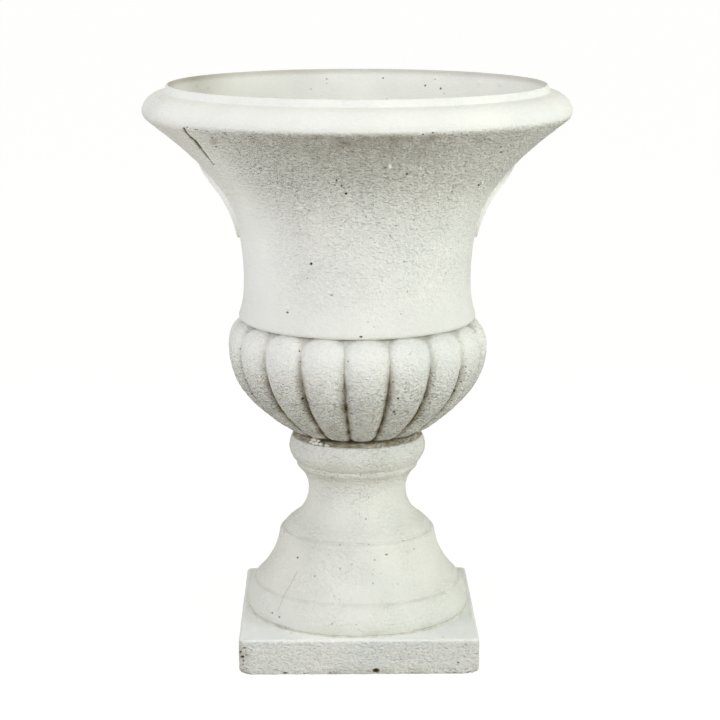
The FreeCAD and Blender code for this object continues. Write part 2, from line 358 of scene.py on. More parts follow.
def sink(bm, spots, normals, dirt_and_shade_layer, coarse_layer):
    """How far each vertex sinks at the spots; holes are darkened with painted shade, and proud lumps lose
    their dirt and painted shade.

    A mark keeps its shape as it is seen along its own line, also on a face that slopes away.
    """
    places = kdtree.KDTree(len(bm.verts))
    for i, v in enumerate(bm.verts):
        places.insert(v.co, i)
    places.balance()
    sunk = {}
    for place, normal, direction, radius, depth, stretch, dark, reach in spots:
        side = Vector((0, 0, 1)).cross(direction).normalized()
        rise = direction.cross(side)
        for co, i, _ in places.find_range(place, reach * MARK_SPREAD):
            if normals[i].dot(normal) < SAME_FACE:
                continue
            offset = co - place
            d = math.hypot(offset.dot(side) / stretch, offset.dot(rise)) / radius
            d *= 1 + RAGGED_SHARE * noise.noise(co / (RAGGED_MM * MM))
            if d >= 1:
                continue
            move = depth * (1 - d ** MARK_FLATNESS) ** MARK_STEEPNESS
            if abs(move) > abs(sunk.get(i, 0)):
                sunk[i] = move
            v = bm.verts[i]
            if depth > 0:
                v[dirt_and_shade_layer] = max(v[dirt_and_shade_layer], PIT_DARKNESS * dark * (1 - d ** MARK_DIRT_AND_SHADE_FALL))
            elif depth < -PROUD_LUMP_MM * MM:
                v[dirt_and_shade_layer] *= d ** MARK_DIRT_AND_SHADE_FALL
                v[coarse_layer] *= d ** MARK_DIRT_AND_SHADE_FALL
    return sunk


def weather(piece, material, marks, coarse, dirt_and_shade, wander_mm, keep_in=None):
    """Give a casting its uneven face, air holes, lumps, rough places, dirt and painted shade.

    Coarse, and dirt with its painted shade, are functions of a place in millimetres and a normal;
    keep_in holds a moved place inside the solid.
    """
    bm = bmesh.new()
    bm.from_mesh(piece.data)
    bmesh.ops.recalc_face_normals(bm, faces=bm.faces)
    spots = spots_on(bm, marks)
    if spots:
        divide_near(bm, spots)
    bm.normal_update()
    dirt_and_shade_layer = bm.verts.layers.float.new("dirt_and_shade")
    coarse_layer = bm.verts.layers.float.new("coarse")
    normals = [v.normal.copy() for v in bm.verts]
    for v in bm.verts:
        v[coarse_layer] = coarse(v.co / MM, v.normal)
        v[dirt_and_shade_layer] = dirt_and_shade(v.co / MM, v.normal)
    bm.verts.ensure_lookup_table()
    sunk = sink(bm, spots, normals, dirt_and_shade_layer, coarse_layer)
    for i, v in enumerate(bm.verts):
        p = v.co
        wave = 0.6 * noise.noise(p / (WANDER_LONG_MM * MM))
        wave += 0.4 * noise.noise(p / (WANDER_SHORT_MM * MM))
        ripple = noise.noise(p / (RIPPLE_MM * MM)) * RIPPLE_DEPTH_MM * v[coarse_layer]
        v.co = p + normals[i] * ((wander_mm * wave + ripple) * MM - sunk.get(i, 0))
        if keep_in:
            v.co = keep_in(v.co)
    bmesh.ops.recalc_face_normals(bm, faces=bm.faces)
    for f in bm.faces:
        f.smooth = True
    for e in bm.edges:
        if len(e.link_faces) == 2 and e.calc_face_angle(0) > math.radians(CREASE_DEGREES):
            e.smooth = False
    bm.to_mesh(piece.data)
    bm.free()
    piece.data.materials.append(material)
    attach(piece, "root")


def ramp(value, start, end):
    """How far a value has come from a start to an end, from 0 to 1."""
    return min(1.0, max(0.0, (value - start) / (end - start)))


def patchy(p, size_mm, level, swing):
    """A share that wavers from place to place about a level, never below 0."""
    return max(0.0, level + swing * noise.noise(p / size_mm))


def ring_at(radius, z, bearing):
    """A level ring of points at some bearings; the radius may differ from one to the next."""
    return np.stack([radius * np.cos(bearing), radius * np.sin(bearing), np.full(len(bearing), z)], axis=1)


def square_ring(inset, z):
    """The plinth's outline, drawn in by inset, as one ring of points at height z.

    Its sides are a little full, its corners are worn at the foot, and it sits slightly to the
    right of the pedestal.
    """
    radius = max(PLINTH_CORNER - inset, LEAST_CORNER)
    full = PLINTH_BELLY * math.sin(math.pi * ramp(z, 0.0, PLINTH_TOP))
    centre = PLINTH_HALF - PLINTH_BELLY - inset - radius
    worn = CORNER_WEAR * ramp(z, CORNER_WEAR_HIGH, 0.0) ** 2
    corner = centre + radius
    ring = []
    for quarter in range(4):
        turn = math.radians(90 * quarter)
        outline = []
        for i in range(CORNER_POINTS):
            a = math.radians(90) * i / CORNER_POINTS
            outline.append((centre + radius * math.cos(a), centre + radius * math.sin(a)))
        for i in range(SIDE_POINTS):
            along = 1 - 2 * i / SIDE_POINTS
            outline.append((centre * along, centre + radius + full * (1 - along * along)))
        for x, y in outline:
            for end in (-1, 1):
                from_corner = math.hypot(end * corner - x, corner - y)
                near_end = ramp(from_corner, CORNER_WEAR_LONG, 0.0) ** 1.5
                x -= end * worn * near_end
                y -= worn * near_end
            ring.append((x * math.cos(turn) - y * math.sin(turn) + PLINTH_SLIP,
                         x * math.sin(turn) + y * math.cos(turn), z))
    return np.array(ring)


def shared_ring(share, z):
    """A ring on the plinth's flat faces: 0 is round the bore, 1 is the outline less its edge."""
    outline = square_ring(PLINTH_EDGE, z)
    bore = ring_at(BORE, z, np.arctan2(outline[:, 1], outline[:, 0]))
    return bore * (1 - share) + outline * share


plinth_rings = [shared_ring(0, z) for z in (PLINTH_TOP, 26.0, 13.0)]
plinth_rings += [shared_ring(share, 0.0) for share in (0, 0.2, 0.45, 0.7, 0.9)]
for degrees in (0, 30, 60, 90):
    a = math.radians(degrees)
    plinth_rings.append(square_ring(
        PLINTH_FOOT_EDGE * (1 - math.sin(a)), PLINTH_FOOT_EDGE * (1 - math.cos(a))))
for z in np.linspace(PLINTH_FOOT_EDGE, PLINTH_TOP - PLINTH_EDGE, 18)[1:-1]:
    plinth_rings.append(square_ring(0, z))
for degrees in (0, 18, 36, 54, 72, 90):
    a = math.radians(degrees)
    plinth_rings.append(square_ring(
        PLINTH_EDGE * (1 - math.cos(a)), PLINTH_TOP - PLINTH_EDGE * (1 - math.sin(a))))
for share in (0.97, 0.94, 0.91, 0.88, 0.85, 0.8, 0.6, 0.4, 0.2):
    plinth_rings.append(shared_ring(share, PLINTH_TOP))
plinth = skin("plinth_casting", plinth_rings)

# Chips and air holes: pixel across, pixel down, radius, depth, stretch and darkness, the painted shade in
# the hole.
PLINTH_SEEN = [
    (376, 671, 2.7, 3.0, 1.6, 0.95), (242, 657, 1.7, 1.8, 1.7, 0.9), (239.8, 652, 1.5, 1.4, 1.0, 0.8),
    (246, 655, 1.5, 1.0, 1.4, 0.45), (244.5, 648, 1.3, 1.0, 1.2, 0.6), (243.5, 661, 1.2, 1.0, 1.0, 0.7),
    (243, 664.5, 1.0, 1.1, 1.0, 0.7), (245.5, 651, 0.8, 0.8, 1.0, 0.5), (291, 633, 0.8, 0.6, 1.0, 0.3),
    (401, 659.5, 0.9, 0.9, 1.1, 0.5), (458, 662.8, 1.1, 1.2, 1.2, 0.8),
    (427.5, 642.5, 0.9, 0.8, 1.5, 0.35), (377, 657, 0.8, 0.7, 1.3, 0.4), (466, 645, 0.8, 0.7, 1.0, 0.4),
    (443, 636.5, 0.9, 0.6, 1.0, 0.3), (285, 673.3, 1.2, 1.1, 2.6, 0.8),
    (330, 673.3, 1.0, 0.9, 1.8, 0.6), (412, 672.8, 0.9, 0.8, 1.7, 0.5),
    (469, 672.8, 1.1, 1.0, 3.0, 0.8), (463, 647, 0.7, 0.6), (469, 651, 0.8, 0.7),
]
plinth_marks = [seen(*mark) for mark in PLINTH_SEEN]
plinth_marks += scattered(seed=11, count=26, low=4.0, high=34.0, reach=300.0, sizes=(0.45, 0.9))


def inside_plinth(p):
    """The faces that bed and rest are struck flat."""
    return Vector((p.x, p.y, max(0.0, min(PLINTH_TOP * MM, p.z))))


def plinth_dirt_and_shade(p, normal):
    """Soil splashed on the lowest centimetre, painted shade on the sides and towards the right, and a
    stain at the left corner.
    """
    patch = patchy(p, 18.0, 0.5, 1.2)
    splashed = 0.30 * ramp(p.z, 10.0, 0.0) * patch
    # The sides are painted darker than the top: painted shade.
    on_sides = 0.20 * ramp(normal.z, 1.0, 0.0)
    from_corner = math.hypot(p.x + 126, p.y + 128, (p.z - 20) * 0.6)
    darkened = 0.35 * ramp(from_corner, 15.0, 0.0) * (0.3 + patch)
    # Painted shade, a little stronger towards the right.
    to_the_right = 0.04 * max(0.0, p.x / 129)
    return splashed + on_sides + darkened + to_the_right


def plinth_coarse(p, normal):
    """Sandy on the sides, smoother on the trowelled top."""
    return 0.9 - 0.5 * ramp(normal.z, 0.2, 0.8)


plinth_stone = cast_stone(
    "cast_stone_of_plinth", pale="#F9FBF8", cool="#F1F5F4", underside_tone="#B7AC98",
    grain_mm=2.0, grain_depth_mm=2.2)
weather(
    plinth, plinth_stone, plinth_marks, plinth_coarse, plinth_dirt_and_shade,
    wander_mm=0.25, keep_in=inside_plinth)
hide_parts("plinth")

# Foot mortar bed
# Lime and cement mortar, pressed out in a thin pale ring when the pedestal was set down on the
# plinth and struck off with a trowel. A few crumbs were left at the front on the left.
FOOT_BED_HIGH = 40.0
COLUMNS = 360
CRUMB_FLATNESS = 0.7
MORTAR_ROUGHNESS = 0.95


def mortar(name, tone):
    """Trowelled lime and cement mortar: a dull, granular, slightly warm white."""
    material = cast_stone(
        name, pale=tone, cool=tone, underside_tone="#A99C84", grain_mm=1.6, grain_depth_mm=0.7)
    material.node_tree.nodes["Principled BSDF"].inputs["Roughness"].default_value = MORTAR_ROUGHNESS
    return material


def round_ring(radius, z):
    """A level circle of points for the turned pieces."""
    return ring_at(radius, z, np.arange(COLUMNS) * 2 * np.pi / COLUMNS)


def bed_rings(edge, ragged, seed):
    """A disc of mortar round the bore; its edge is a profile from low to high, made uneven."""
    low, high = edge[0][1], edge[-1][1]
    sides = []
    for i, (radius, z) in enumerate(edge):
        ring = round_ring(radius, z)
        share = math.sin(math.pi * i / (len(edge) - 1)) + 0.4
        for p in ring:
            spread = noise.noise(Vector((p[0] / 7, p[1] / 7, seed))) * ragged * share
            p[:2] *= 1 + spread / radius
        sides.append(ring)
    flat_low = [round_ring(r, low) for r in (BORE, edge[0][0] * 0.5, edge[0][0] * 0.9)]
    flat_high = [round_ring(r, high) for r in (edge[-1][0] * 0.9, edge[-1][0] * 0.5, BORE)]
    return flat_low + sides + flat_high


def crumb(bm, place, size, seed):
    """A crumb of mortar, an uneven pebble, added to a bed's mesh."""
    made = bmesh.ops.create_icosphere(bm, subdivisions=3, radius=size * MM)
    for v in made["verts"]:
        v.co *= 1 + 0.35 * noise.noise(v.co / (size * MM) * 1.3 + Vector((seed, 0, 0)))
        v.co.z *= CRUMB_FLATNESS
        v.co += place


def crumbs(piece, spots, low):
    """Crumbs on a bed at bearings in degrees, each (bearing, radius, height, size) in mm."""
    bm = bmesh.new()
    bm.from_mesh(piece.data)
    for i, (bearing, radius, z, size) in enumerate(spots):
        a = math.radians(bearing - 90)
        lift = max(z, low + size * 0.9)
        crumb(bm, Vector((radius * math.cos(a), radius * math.sin(a), lift)) * MM, size, i)
    bm.to_mesh(piece.data)
    bm.free()


foot_bed = skin("foot_mortar_ring", bed_rings([
    (122.6, PLINTH_TOP), (122.3, 38.9), (121.8, 39.5), (121.2, FOOT_BED_HIGH)], ragged=0.25, seed=3))
FOOT_CRUMBS = [
    (-46.5, 122.0, 40.6, 0.9), (-45.0, 122.2, 40.8, 1.1), (-43.6, 122.5, 40.4, 0.9),
    (-42.4, 122.4, 41.0, 1.5), (-41.0, 122.8, 40.6, 1.3), (-39.9, 122.9, 40.0, 0.9),
    (-12.0, 122.9, 39.3, 0.6), (31.0, 122.8, 39.3, 0.7), (150.0, 122.6, 39.8, 1.2),
    (153.0, 122.6, 39.6, 0.9),
]
crumbs(foot_bed, FOOT_CRUMBS, PLINTH_TOP)


def foot_bed_dirt(p, normal):
    """A little dust lies in the joint."""
    return patchy(p, 7.0, 0.10, 0.30)


foot_mortar = mortar("lime_mortar_of_foot", "#DDDCD2")
weather(foot_bed, foot_mortar, [], lambda p, normal: 0.5, foot_bed_dirt, wander_mm=0.06)
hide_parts("foot_mortar_bed")

# Pedestal
# One casting from a two-part turned mould: the round foot, the bell, the step, the neck and the
# collar. It keeps a faint seam where the mould closed and open air holes; its grooves are darkened
# with painted shade and some dirt.
PEDESTAL_LOW = 40.0
PEDESTAL_TOP = 235.0
FOOT_GROOVE = 71.0
STEP_GROOVE = 130.0
COLLAR_GROOVE = 205.0
ROW_MM = 2.3


def arc(start, middle, end, step=ROW_MM):
    """Points along the circle through three points of a profile, about a step apart."""
    (ax, ay), (bx, by), (cx, cy) = start, middle, end
    d = 2 * (ax * (by - cy) + bx * (cy - ay) + cx * (ay - by))
    aa, bb, cc = ax * ax + ay * ay, bx * bx + by * by, cx * cx + cy * cy
    ux = (aa * (by - cy) + bb * (cy - ay) + cc * (ay - by)) / d
    uy = (aa * (cx - bx) + bb * (ax - cx) + cc * (bx - ax)) / d
    radius = math.hypot(ax - ux, ay - uy)
    first, mid, last = (math.atan2(y - uy, x - ux) for x, y in (start, middle, end))
    turn = (last - first) % (2 * math.pi)
    if (mid - first) % (2 * math.pi) > turn:
        turn -= 2 * math.pi
    count = max(3, math.ceil(abs(turn) * radius / step))
    return [(ux + radius * math.cos(first + turn * i / count),
             uy + radius * math.sin(first + turn * i / count)) for i in range(count + 1)]


def straight(start, end, step=ROW_MM):
    """Points along a straight stretch of a profile."""
    count = max(1, math.ceil(math.dist(start, end) / step))
    return [(start[0] + (end[0] - start[0]) * i / count,
             start[1] + (end[1] - start[1]) * i / count) for i in range(count + 1)]


def without_repeats(path):
    """A profile without the points that two of its stretches share."""
    kept = [path[0]]
    for p in path[1:]:
        if math.dist(p, kept[-1]) > 0.05:
            kept.append(p)
    return kept


profile = straight((BORE, PEDESTAL_LOW), (119.0, PEDESTAL_LOW), 15.0)
profile += arc((119.0, PEDESTAL_LOW), (120.9, 40.2), (121.4, 40.9), 0.8)
profile += arc((121.4, 40.9), (122.6, 56.6), (115.6, 69.6))
profile += arc((115.6, 69.6), (114.4, 70.5), (113.4, FOOT_GROOVE), 0.7)
profile += arc((113.4, FOOT_GROOVE), (112.9, 72.0), (112.9, 73.6), 0.7)
profile += arc((112.9, 73.6), (94.4, 98.2), (86.2, 123.0))
profile += arc((86.2, 123.0), (85.4, 126.8), (83.2, STEP_GROOVE - 0.9), 0.9)
profile += arc((83.2, STEP_GROOVE - 0.9), (81.9, STEP_GROOVE - 0.5), (81.1, STEP_GROOVE), 0.6)
profile += arc((81.1, STEP_GROOVE), (80.8, STEP_GROOVE + 0.9), (81.0, STEP_GROOVE + 2.0), 0.5)
profile += arc((81.0, STEP_GROOVE + 2.0), (77.0, 136.0), (71.5, 140.4), 1.2)
profile += arc((71.5, 140.4), (57.9, 156.0), (53.8, 174.0))
profile += arc((53.8, 174.0), (56.1, 186.0), (64.6, 198.6))
profile += arc((64.6, 198.6), (66.6, 201.4), (67.1, COLLAR_GROOVE - 0.9), 0.9)
profile += arc((67.1, COLLAR_GROOVE - 0.9), (66.5, COLLAR_GROOVE), (67.4, COLLAR_GROOVE + 1.0), 0.5)
profile += arc((67.4, COLLAR_GROOVE + 1.0), (75.1, 221.0), (72.2, 233.2))
profile += arc((72.2, 233.2), (71.2, 234.6), (69.6, PEDESTAL_TOP), 0.8)
profile += straight((69.6, PEDESTAL_TOP), (BORE, PEDESTAL_TOP), 12.0)
profile += straight((BORE, PEDESTAL_TOP), (BORE, PEDESTAL_LOW + 15), 18.0)
pedestal = skin("pedestal_casting", [round_ring(r, z) for r, z in without_repeats(profile)])

# Air holes and, with a negative depth, lumps: in the same order as the plinth's.
PEDESTAL_SEEN = [
    (297.5, 557.5, 1.1, 1.3, 1.0, 0.9), (386.5, 554.6, 1.2, 0.9, 1.7, 0.5), (387, 557, 0.9, -0.5, 1.6),
    (374.7, 560, 0.9, 0.9, 1.0, 0.55), (366, 519, 0.9, 0.9, 1.0, 0.6), (340, 568.5, 0.9, 0.8, 1.0, 0.5),
    (373, 583, 0.8, 0.7, 1.0, 0.7), (414, 549, 0.9, 0.8, 1.1, 0.4), (340, 544.7, 0.7, 0.7, 1.0, 0.6),
    (360, 543.5, 0.9, -0.4, 1.3), (369, 544.4, 0.7, 0.7, 1.0, 0.6), (367, 551.5, 0.7, 0.5, 1.0, 0.3),
    (373, 570, 0.7, 0.6, 1.0, 0.4), (373, 574, 0.7, 0.6, 1.0, 0.4), (381, 573.5, 0.7, 0.6, 1.0, 0.3),
    (398, 584, 0.7, 0.6, 1.0, 0.4), (322, 562, 1.6, 0.4, 1.5, 0.1), (318, 556, 1.2, -0.3, 1.6),
    (328, 555, 1.4, 0.4, 1.4, 0.1), (334, 596, 0.8, 0.6, 1.2, 0.4), (356, 625, 0.8, 0.6, 1.2, 0.4),
    (332, 624, 0.9, 0.6, 1.3, 0.4), (279, 617, 0.9, 0.9, 1.5, 0.8), (272, 613, 0.8, 0.8, 1.4, 0.8),
]
pedestal_marks = [seen(*mark) for mark in PEDESTAL_SEEN]

# The mould seam at the left stands proud on the bell and is a fine furrow below it.
SEAM_HIGH = [(322, 494), (318, 505), (303, 535), (299.5, 555), (297, 572)]
SEAM_LOW = [(297, 572), (290, 585), (283, 597), (280, 606), (277, 612)]
pedestal_marks += traced(SEAM_HIGH, radius=0.8, depth=-0.16)
pedestal_marks += traced(SEAM_LOW, radius=0.75, depth=0.25, dark=0.15)
pedestal_marks += scattered(seed=5, count=44, low=45.0, high=232.0, sizes=(0.4, 0.7))

# Painted shade, with some dirt, in the three grooves and round the collar: height, darkness and spread.
PEDESTAL_SHADE_AND_DIRT = [
    (FOOT_GROOVE + 0.6, 0.18, 1.4), (STEP_GROOVE + 0.8, 0.14, 1.4), (COLLAR_GROOVE, 0.24, 1.2),
    (COLLAR_GROOVE - 6, 0.20, 6.0), (COLLAR_GROOVE + 8, 0.08, 8.0),
]


def pedestal_shade_and_dirt(p, normal):
    """Patches of painted shade, with some dirt, in the grooves and round the collar, just above the foot's
    joint and on the very top.
    """
    patch = patchy(p, 16.0, 0.55, 0.9)
    groove = max(dark * math.exp(-((p.z - z) / spread) ** 2) for z, dark, spread in PEDESTAL_SHADE_AND_DIRT)
    joint = 0.20 * ramp(p.z, PEDESTAL_LOW + 9.0, PEDESTAL_LOW)
    top = 0.45 * ramp(p.z, PEDESTAL_TOP - 1.6, PEDESTAL_TOP)
    return patch * max(groove, joint) + top


def pedestal_coarse(p, normal):
    """Smooth on the foot and the bell; rougher on the collar and under it, and in patches."""
    patch = max(-1.0, min(1.0, 2.2 * noise.noise(p / 33.0)))
    return 0.42 + 0.35 * ramp(p.z, 150, 200) + 0.16 * patch


pedestal_stone = cast_stone(
    "cast_stone_of_pedestal", pale="#E6E7E1", cool="#DDDFD9", underside_tone="#BDB39F",
    grain_mm=2.2, grain_depth_mm=1.8)
weather(pedestal, pedestal_stone, pedestal_marks, pedestal_coarse, pedestal_shade_and_dirt, wander_mm=0.25)
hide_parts("pedestal")

# Bowl mortar bed
# A thicker bed of the same mortar, squeezed out over the collar where the bowl was lowered on
# to its dowels. It sits back in shade, painted brown with shade and soil, with white crumbs at
# the front left.
BOWL_BASE = 238.5
BOWL_BED_RADIUS = 70.6
bowl_bed = skin("bowl_mortar_ring", bed_rings([
    (BOWL_BED_RADIUS, PEDESTAL_TOP), (70.0, 235.6), (68.6, 236.6), (67.2, 237.7), (66.0, BOWL_BASE),
], ragged=0.7, seed=8))
BOWL_CRUMBS = [
    (-43.5, 71.6, 237.2, 2.2), (-40.5, 73.0, 237.0, 2.4), (-37.2, 73.4, 237.4, 3.0),
    (-33.4, 72.8, 236.9, 2.5), (-41.8, 72.6, 240.6, 2.0), (-38.6, 73.6, 241.4, 2.3),
    (-35.4, 73.2, 240.6, 1.8), (-39.6, 74.2, 243.8, 1.5), (-46.0, 70.8, 236.8, 1.7),
    (-29.0, 71.3, 236.2, 1.6), (-26.8, 71.0, 235.9, 0.9), (22.0, 70.9, 236.0, 0.9),
    (95.0, 70.8, 236.3, 1.6), (161.0, 70.6, 236.6, 1.9), (164.0, 70.8, 236.3, 1.3),
    (-120.0, 70.8, 236.3, 1.5),
]
crumbs(bowl_bed, BOWL_CRUMBS, PEDESTAL_TOP)


def bowl_bed_soil_and_shade(p, normal):
    """Painted shade and soil darken the joint, except on the crumbs that stand out of it."""
    edge_radius = BOWL_BED_RADIUS - (p.z - PEDESTAL_TOP) * 1.3
    stands_out = math.hypot(p.x, p.y) > edge_radius + 1.0
    return 0.0 if stands_out else max(0.3, patchy(p, 8.0, 0.70, 0.4))


bowl_mortar = mortar("lime_mortar_of_bowl", "#EAE8DE")
weather(bowl_bed, bowl_mortar, [], lambda p, normal: 1.0, bowl_bed_soil_and_shade, wander_mm=0.1)
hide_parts("bowl_mortar_bed")

# Bowl
# One thick casting: eighteen lobes round the belly, the bell with its soft lower edge, the
# rounded rim and the narrow lip. The lobes' lower halves and the stone under the rim are rough.
LOBES = 18
LOBE_TURN = 3.7
LOBE_COLUMNS = 22
LOBE_FULLNESS = 2.2
LOBE_STEEPNESS = 0.60
LOBE_ARCH_Z = 355.5
LOBE_ARCH = 0.45
LOBE_TIP_Z = 252.0
LOBE_TIP_HIGH = 13.0
LOBE_TIP = 0.62
VALLEY_HEIGHTS = (240, 262, 300, 335, 364)
VALLEY_SHARES = (0.93, 0.912, 0.915, 0.945, 0.945)
BELL_EDGE = 364.6
RIM_RADIUS = 230.1
FLARE_LOW = 505.0
RIM_EDGE = 591.0
LIP_LOW = 611.0
TOTAL_HEIGHT = 620.0
FLOOR_Z = 272.0
FLOOR_RADIUS = 76.0


def through(points, step=ROW_MM):
    """Points about a step apart along a smooth curve through a few given ones."""
    p = np.array(points, dtype=float)
    knots = np.concatenate([[0.0], np.cumsum(np.linalg.norm(np.diff(p, axis=0), axis=1))])
    slope = np.gradient(p, knots, axis=0)
    t = np.linspace(0, knots[-1], math.ceil(knots[-1] / step) + 1)
    i = np.clip(np.searchsorted(knots, t, side="right") - 1, 0, len(knots) - 2)
    h = (knots[i + 1] - knots[i])[:, None]
    u = (t - knots[i])[:, None] / h
    path = (2 * u ** 3 - 3 * u ** 2 + 1) * p[i] + (u ** 3 - 2 * u ** 2 + u) * h * slope[i]
    path += (3 * u ** 2 - 2 * u ** 3) * p[i + 1] + (u ** 3 - u ** 2) * h * slope[i + 1]
    return [tuple(q) for q in path]


# Columns crowd towards the valleys between lobes, so that the creases come out crisp.
lobe_step = (np.arange(LOBE_COLUMNS) + 0.5) / LOBE_COLUMNS * 2 - 1
lobe_across = np.sin(lobe_step * math.pi / 2) * 0.75 + lobe_step * 0.25
lobe_bearing = np.concatenate([
    np.radians(LOBE_TURN - 90 + 360.0 / LOBES * i) + lobe_across * math.pi / LOBES
    for i in range(LOBES)])
lobe_offset = np.tile(lobe_across, LOBES)


def bowl_ring(radius, z):
    """A level ring on the bowl's own columns."""
    return ring_at(radius, z, lobe_bearing)


def lobe_height(across, z):
    """How far a lobe stands out, from 0 in the valley to 1 on its ridge."""
    width = 1.0
    if z > LOBE_ARCH_Z:
        width = 1 - LOBE_ARCH * ((z - LOBE_ARCH_Z) / (BELL_EDGE - LOBE_ARCH_Z)) ** 2
    if z < LOBE_TIP_Z:
        drop = (LOBE_TIP_Z - z) / LOBE_TIP_HIGH
        width = LOBE_TIP + (1 - LOBE_TIP) * math.sqrt(max(0.0, 1 - drop ** 2))
    inside = np.clip(np.abs(across) / width, 0, 1)
    return (1 - inside ** LOBE_FULLNESS) ** LOBE_STEEPNESS


def lobed_ring(ridge, z):
    """A level of the belly; the valleys are deepest on its underside."""
    valley = ridge * np.interp(z, VALLEY_HEIGHTS, VALLEY_SHARES)
    return bowl_ring(valley + (ridge - valley) * lobe_height(lobe_offset, z), z)


# Profiles as radius and height: the ridge of a lobe, the bell outside, and the planting space.
RIDGE = [
    (64.5, 240.5), (74.0, 243.5), (84.2, 249.0), (97.2, 259.0), (117.0, 277.0), (133.4, 300.0),
    (139.8, 318.0), (141.9, 336.0), (139.8, 349.0), (135.6, 357.2), (130.6, 361.9), (124.8, 364.2),
]
BELL = [
    (129.2, 370.2), (127.6, 375.2), (125.0, 386.5), (123.5, 413.0), (125.1, 440.0), (130.9, 470.0),
    (143.2, 500.0), (165.2, 530.0), (194.9, 559.0), (214.9, 575.2), (223.6, 582.2),
]
INSIDE = [
    (199.4, 613.0), (186.0, 588.0), (163.0, 560.0), (136.5, 530.0), (117.0, 500.0), (104.5, 460.0),
    (100.5, 420.0), (99.0, 350.0), (96.0, 292.0),
]
lower_edge = straight((123.6, 365.0), (124.6, BELL_EDGE), 1.0)
lower_edge += arc((124.6, BELL_EDGE), (127.9, 366.2), BELL[0], 0.9)
bowl_rings = [bowl_ring(r, BOWL_BASE) for r in (BORE, 30.0, 48.0, 60.0)]
bowl_rings += [bowl_ring(62.0, BOWL_BASE + 0.6)]
bowl_rings += [lobed_ring(r, z) for r, z in through(RIDGE)]
bowl_rings += [bowl_ring(r, z) for r, z in without_repeats(lower_edge)]
bowl_rings += [bowl_ring(r, z) for r, z in through(BELL)[1:]]
rim = arc((224.3, 582.8), (228.7, 587.4), (RIM_RADIUS, 594.5), 1.2)
rim += arc((RIM_RADIUS, 594.5), (221.8, 607.2), (206.8, 612.2))
rim += arc((206.8, 612.2), (206.1, 612.4), (205.8, 613.0), 0.5)
rim += arc((205.8, 613.0), (205.2, 616.4), (203.4, 619.2), 0.9)
rim += arc((203.4, 619.2), (202.9, 619.8), (202.2, TOTAL_HEIGHT), 0.6)
rim += arc((202.2, TOTAL_HEIGHT), (201.1, 619.3), (200.4, 618.0), 0.7)
bowl_rings += [bowl_ring(r, z) for r, z in without_repeats(rim)]
bowl_rings += [bowl_ring(r, z) for r, z in through(INSIDE, 4.5)]
dish = arc(INSIDE[-1], (90.2, 277.8), (FLOOR_RADIUS, FLOOR_Z), 4.0)[1:]
dish += straight((FLOOR_RADIUS, FLOOR_Z), (17.0, FLOOR_Z), 6.0)[1:]
bowl_rings += [bowl_ring(r, z) for r, z in dish + [(BORE, 262.0), (BORE, 250.0)]]
bowl = skin("bowl_casting", bowl_rings)

